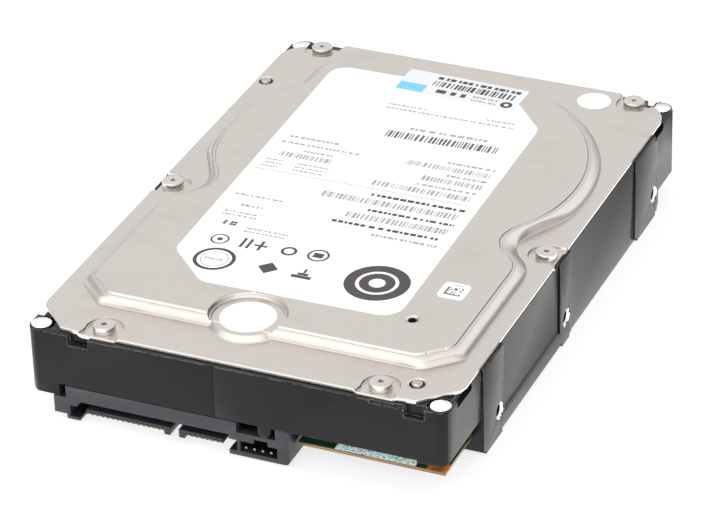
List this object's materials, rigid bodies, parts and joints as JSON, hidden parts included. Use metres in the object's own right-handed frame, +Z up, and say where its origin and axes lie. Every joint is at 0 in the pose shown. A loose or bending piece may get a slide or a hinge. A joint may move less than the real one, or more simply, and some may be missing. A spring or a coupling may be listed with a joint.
{
  "type": "hard disk drive",
  "caption": "Desktop hard disk drive: sealed casting and cover with disk pack, swinging head actuator, parking ramp, circuit board and data, power and jumper connectors.",
  "frame": {"origin": "centre of the bottom face of the drive's bounding box, in the plane of the rail undersides", "axes": "+X across the width, +Y from the connector end to the rear end, +Z up through the top cover"},
  "size_m": [0.1016, 0.147, 0.0261],
  "materials": {
    "black_casting": "semi-gloss black paint over die-cast aluminium",
    "cover_steel": "satin stainless sheet",
    "screw_steel": "bright plated screw steel",
    "label_paper": "matte coated paper",
    "asset_paper": "matte coated film",
    "gasket_foam": "matte foam rubber",
    "filter_felt": "matte felt",
    "carbon_felt": "matte carbon felt",
    "desiccant_pouch": "matte woven pouch",
    "turned_aluminium": "turned",
    "disk_surface": "mirror polished",
    "bronze": "sintered bronze",
    "lamination_steel": "stamped lamination steel",
    "copper_winding": "enamelled copper",
    "bearing_steel": "ground bearing steel",
    "magnet_nickel": "nickel plated",
    "yoke_steel": "nickel plated steel plate",
    "stop_rubber": "matte rubber",
    "pale_plastic": "natural engineering plastic",
    "black_plastic": "black moulded plastic",
    "flex_film": "polyimide film with copper",
    "chip_resin": "moulded chip resin",
    "board_laminate": "green solder mask over glass laminate",
    "connector_plastic": "blue-grey moulded plastic",
    "contact_gold": "gold plated",
    "passive_parts": "ceramic passive parts"
  },
  "bodies": {
    "enclosure": {"base_casting": "black_casting", "top_cover": "cover_steel", "cover_gasket": "gasket_foam", "cover_screws": "screw_steel", "locating_pins": "bearing_steel", "main_label": "label_paper", "asset_label": "asset_paper", "front_round_seal": "label_paper", "rear_round_seal": "label_paper", "code_sticker": "label_paper", "breather_filter": "carbon_felt", "recirculation_filter": "filter_felt", "desiccant_pack": "desiccant_pouch", "motor_base": "turned_aluminium", "bearing_sleeve": "bronze", "stator_core": "lamination_steel", "stator_coils": "copper_winding", "pivot_inner_rings": "bearing_steel", "pivot_shaft": "bearing_steel", "pivot_screw": "screw_steel", "lower_yoke": "yoke_steel", "upper_yoke": "yoke_steel", "drive_magnets": "magnet_nickel", "yoke_posts": "yoke_steel", "yoke_screws": "screw_steel", "crash_stops": "stop_rubber", "latch_pin": "bearing_steel", "load_ramp": "pale_plastic", "ramp_screw": "screw_steel", "flex_loop": "flex_film", "head_connector": "black_plastic", "circuit_board": "board_laminate", "connector_block": "connector_plastic", "connector_contacts": "contact_gold", "jumper_pins": "contact_gold", "controller_chip": "chip_resin", "memory_chip": "chip_resin", "motor_driver_chip": "chip_resin", "board_passives": "passive_parts", "board_screws": "screw_steel", "motor_contacts": "contact_gold"},
    "disk_pack": {"spindle_shaft": "bearing_steel", "rotor_hub": "turned_aluminium", "rotor_magnet": "magnet_nickel", "lower_platter": "disk_surface", "disk_spacer": "turned_aluminium", "upper_platter": "disk_surface", "disk_clamp": "turned_aluminium", "clamp_screws": "screw_steel"},
    "actuator": {"arm_block": "turned_aluminium", "arm_flex": "flex_film", "preamp_chip": "chip_resin", "coil_frame": "black_plastic", "voice_coil": "copper_winding", "head_suspensions": "cover_steel", "head_sliders": "chip_resin", "pivot_sleeve": "bearing_steel", "pivot_outer_rings": "bearing_steel"},
    "pivot_ball_set": {"pivot_balls": "bearing_steel"},
    "latch": {"latch_lever": "pale_plastic"}
  },
  "joints": [
    {"name": "spindle_spin", "type": "hinge", "parent": "enclosure", "child": "disk_pack", "pos_m": [0, 0.0214, 0], "axis": [0, 0, 1], "continuous": true},
    {"name": "actuator_swing", "type": "hinge", "parent": "enclosure", "child": "actuator", "pos_m": [0.016, -0.031, 0], "axis": [0, 0, 1], "range_deg": [-36, 0]},
    {"name": "pivot_ball_roll", "type": "hinge", "parent": "enclosure", "child": "pivot_ball_set", "pos_m": [0.016, -0.031, 0], "axis": [0, 0, 1], "range_deg": [-16, 0]},
    {"name": "latch_swing", "type": "hinge", "parent": "enclosure", "child": "latch", "pos_m": [0.0325, -0.05958, 0], "axis": [0, 0, 1], "range_deg": [0, 10]}
  ],
  "couplings": [
    {"joint": "pivot_ball_roll", "follows": "actuator_swing", "ratio": 0.4208}
  ]
}
